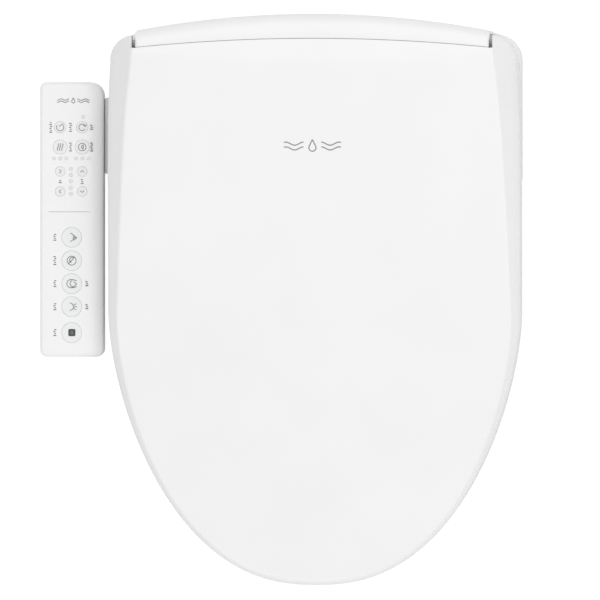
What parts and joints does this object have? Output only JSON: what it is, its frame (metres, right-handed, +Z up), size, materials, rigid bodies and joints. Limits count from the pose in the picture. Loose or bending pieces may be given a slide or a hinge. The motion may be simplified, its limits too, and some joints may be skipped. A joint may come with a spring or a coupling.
{
  "type": "electric bidet seat",
  "caption": "Electric bidet toilet seat with a domed closing lid, heated ring, washing nozzle, warm-air dryer and a side control panel with push buttons.",
  "frame": {"origin": "midway between the two mounting bolts, on the plane of the bowl's rim", "axes": "+Z up, +Y to the rear (tank side), -Y to the front tip, -X towards the control panel"},
  "size_m": [0.4489, 0.53, 0.192],
  "materials": {
    "gloss_white": "glossy moulded white",
    "panel_white": "glossy moulded white",
    "satin_white": "satin white",
    "key_white": "satin light grey",
    "key_stop": "satin light grey",
    "grey_plastic": "satin grey",
    "dark_plastic": "matte dark",
    "rubber_grey": "soft light grey",
    "lens": "translucent pale",
    "board": "green circuit board",
    "steel": "stainless",
    "brass": "bright brass"
  },
  "bodies": {
    "mount": {"mounting_plate": "satin_white", "mounting_bolt_left": "steel", "mounting_bolt_right": "steel", "rubber_bush_left": "rubber_grey", "rubber_bush_right": "rubber_grey", "wing_nut_left": "grey_plastic", "wing_nut_right": "grey_plastic"},
    "base": {"base_chassis": "gloss_white", "nozzle_hood": "gloss_white", "top_cover": "satin_white", "rear_bar": "gloss_white", "hinge_pin_left": "steel", "hinge_pin_right": "steel", "nozzle_guide": "satin_white", "nozzle_motor": "steel", "water_heater": "grey_plastic", "inlet_valve": "satin_white", "inlet_connector": "brass", "hose_to_heater": "rubber_grey", "hose_to_nozzle": "rubber_grey", "air_pump": "dark_plastic", "blower_housing": "dark_plastic", "dryer_duct": "satin_white", "power_supply": "dark_plastic", "main_board": "board", "panel_upper_case": "panel_white", "panel_lower_case": "gloss_white", "panel_light_guide": "lens", "panel_board": "board"},
    "seat": {"seat_top_shell": "gloss_white", "seat_base_shell": "satin_white", "seat_heater": "grey_plastic", "seat_bumper_rear_left": "rubber_grey", "seat_bumper_rear_right": "rubber_grey", "seat_bumper_front_left": "rubber_grey", "seat_bumper_front_right": "rubber_grey"},
    "lid": {"lid": "gloss_white", "lid_bumper_left": "rubber_grey", "lid_bumper_right": "rubber_grey"},
    "nozzle": {"nozzle": "steel", "nozzle_cap": "satin_white"},
    "pinion": {"nozzle_pinion": "grey_plastic"},
    "fan": {"fan_wheel": "grey_plastic"},
    "flap": {"dryer_flap": "satin_white"},
    "drawer": {"deodorizer_drawer": "gloss_white", "deodorizer_core": "dark_plastic"},
    "release": {"release_button": "grey_plastic"},
    "button_power": {"button_power": "key_white"},
    "button_nozzle_clean": {"button_nozzle_clean": "key_white"},
    "button_water_temperature": {"button_water_temperature": "key_white"},
    "button_seat_temperature": {"button_seat_temperature": "key_white"},
    "button_pressure_down": {"button_pressure_down": "key_white"},
    "button_pressure_up": {"button_pressure_up": "key_white"},
    "button_nozzle_back": {"button_nozzle_back": "key_white"},
    "button_nozzle_forward": {"button_nozzle_forward": "key_white"},
    "button_rear_wash": {"button_rear_wash": "key_white"},
    "button_dry": {"button_dry": "key_white"},
    "button_front_wash": {"button_front_wash": "key_white"},
    "button_soft_wash": {"button_soft_wash": "key_white"},
    "button_stop": {"button_stop": "key_stop"}
  },
  "joints": [
    {"name": "release_slide", "type": "slide", "parent": "mount", "child": "base", "axis": [0, -1, 0], "range_m": [0, 0.09]},
    {"name": "seat_hinge", "type": "hinge", "parent": "base", "child": "seat", "pos_m": [0, 0.02, 0.117], "axis": [1, 0, 0], "range_deg": [-98, 0]},
    {"name": "lid_hinge", "type": "hinge", "parent": "seat", "child": "lid", "pos_m": [0, 0.02, 0.117], "axis": [-1, 0, 0], "range_deg": [0, 105]},
    {"name": "nozzle_slide", "type": "slide", "parent": "base", "child": "nozzle", "axis": [0, -0.9272, -0.3746], "range_m": [0, 0.09]},
    {"name": "pinion_spin", "type": "hinge", "parent": "base", "child": "pinion", "pos_m": [0, -0.08378, 0.02154], "axis": [1, 0, 0], "range_deg": [-650, 0]},
    {"name": "fan_spin", "type": "hinge", "parent": "base", "child": "fan", "pos_m": [-0.044, -0.048, 0.02], "axis": [0, 0, 1], "continuous": true},
    {"name": "flap_hinge", "type": "hinge", "parent": "base", "child": "flap", "pos_m": [0, -0.1024, 0.0066], "axis": [-1, 0, 0], "range_deg": [0, 75]},
    {"name": "drawer_slide", "type": "slide", "parent": "base", "child": "drawer", "axis": [1, 0, 0], "range_m": [0, 0.03]},
    {"name": "release_press", "type": "slide", "parent": "base", "child": "release", "axis": [-1, 0, 0], "range_m": [0, 0.002], "stiffness_N_per_m": 800},
    {"name": "press_power", "type": "slide", "parent": "base", "child": "button_power", "axis": [0, 0, -1], "range_m": [0, 0.0012], "stiffness_N_per_m": 400},
    {"name": "press_nozzle_clean", "type": "slide", "parent": "base", "child": "button_nozzle_clean", "axis": [0, 0, -1], "range_m": [0, 0.0012], "stiffness_N_per_m": 400},
    {"name": "press_water_temperature", "type": "slide", "parent": "base", "child": "button_water_temperature", "axis": [0, 0, -1], "range_m": [0, 0.0012], "stiffness_N_per_m": 400},
    {"name": "press_seat_temperature", "type": "slide", "parent": "base", "child": "button_seat_temperature", "axis": [0, 0, -1], "range_m": [0, 0.0012], "stiffness_N_per_m": 400},
    {"name": "press_pressure_down", "type": "slide", "parent": "base", "child": "button_pressure_down", "axis": [0, 0, -1], "range_m": [0, 0.0012], "stiffness_N_per_m": 400},
    {"name": "press_pressure_up", "type": "slide", "parent": "base", "child": "button_pressure_up", "axis": [0, 0, -1], "range_m": [0, 0.0012], "stiffness_N_per_m": 400},
    {"name": "press_nozzle_back", "type": "slide", "parent": "base", "child": "button_nozzle_back", "axis": [0, 0, -1], "range_m": [0, 0.0012], "stiffness_N_per_m": 400},
    {"name": "press_nozzle_forward", "type": "slide", "parent": "base", "child": "button_nozzle_forward", "axis": [0, 0, -1], "range_m": [0, 0.0012], "stiffness_N_per_m": 400},
    {"name": "press_rear_wash", "type": "slide", "parent": "base", "child": "button_rear_wash", "axis": [0, 0, -1], "range_m": [0, 0.0012], "stiffness_N_per_m": 400},
    {"name": "press_dry", "type": "slide", "parent": "base", "child": "button_dry", "axis": [0, 0, -1], "range_m": [0, 0.0012], "stiffness_N_per_m": 400},
    {"name": "press_front_wash", "type": "slide", "parent": "base", "child": "button_front_wash", "axis": [0, 0, -1], "range_m": [0, 0.0012], "stiffness_N_per_m": 400},
    {"name": "press_soft_wash", "type": "slide", "parent": "base", "child": "button_soft_wash", "axis": [0, 0, -1], "range_m": [0, 0.0012], "stiffness_N_per_m": 400},
    {"name": "press_stop", "type": "slide", "parent": "base", "child": "button_stop", "axis": [0, 0, -1], "range_m": [0, 0.0012], "stiffness_N_per_m": 400}
  ],
  "couplings": [
    {"joint": "pinion_spin", "follows": "nozzle_slide", "rad_per_m": -125}
  ]
}
